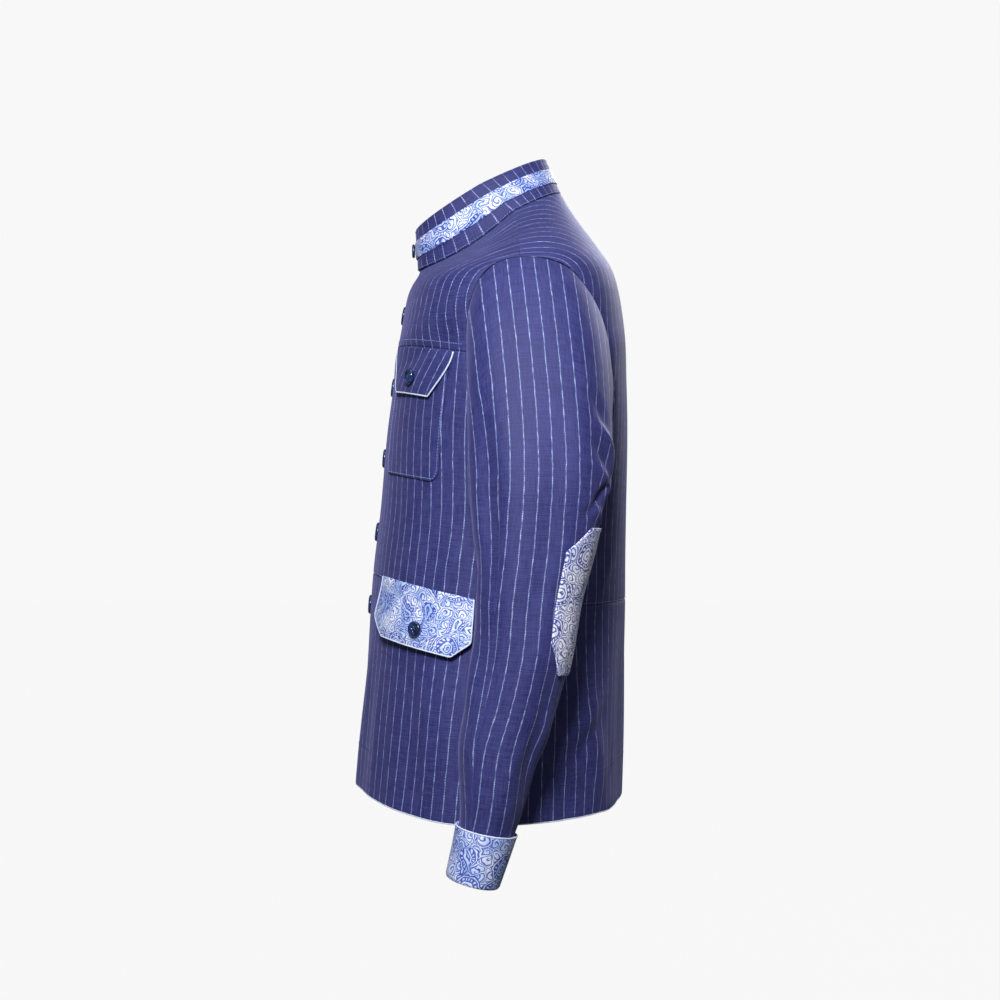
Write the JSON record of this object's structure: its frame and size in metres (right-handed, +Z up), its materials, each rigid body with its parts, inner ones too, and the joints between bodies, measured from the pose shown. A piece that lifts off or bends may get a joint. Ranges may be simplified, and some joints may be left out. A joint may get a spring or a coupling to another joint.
{
  "type": "safari jacket",
  "caption": "Safari jacket with a stand collar, flapped pockets, elbow patches and turned cuffs, filled out as worn with nobody in it.",
  "frame": {"origin": "middle between the shoulders, where the wearer holds the jacket up", "axes": "+Z up towards the collar, -Y towards the front, +X towards the wearer's left"},
  "size_m": [0.6404, 0.3076, 0.7853],
  "materials": {
    "pinstripe_cloth": "woven navy suiting with a fine light blue pinstripe",
    "paisley_cloth": "pale blue cotton with a woven paisley",
    "buttons": "dark navy, domed, satin"
  },
  "bodies": {
    "root": {"front_left_yoke": "pinstripe_cloth", "front_left_chest": "pinstripe_cloth", "front_left_skirt": "pinstripe_cloth", "front_right_yoke": "pinstripe_cloth", "front_right_chest": "pinstripe_cloth", "front_right_skirt": "pinstripe_cloth", "back_upper": "pinstripe_cloth", "back_skirt": "pinstripe_cloth", "sleeve_left": "pinstripe_cloth", "sleeve_right": "pinstripe_cloth", "collar_stand": "pinstripe_cloth", "breast_pocket_left": "pinstripe_cloth", "breast_pocket_right": "pinstripe_cloth", "breast_flap_left": "pinstripe_cloth", "breast_flap_right": "pinstripe_cloth", "cuff_left": "paisley_cloth", "cuff_right": "paisley_cloth", "elbow_patch_left": "paisley_cloth", "elbow_patch_right": "paisley_cloth", "collar_band": "paisley_cloth", "lower_flap_left": "paisley_cloth", "lower_flap_right": "paisley_cloth", "button_front_1": "buttons", "button_front_2": "buttons", "button_front_3": "buttons", "button_front_4": "buttons", "button_front_5": "buttons", "button_collar": "buttons", "button_breast_left": "buttons", "button_breast_right": "buttons", "button_lower_left": "buttons", "button_lower_right": "buttons"}
  },
  "joints": []
}
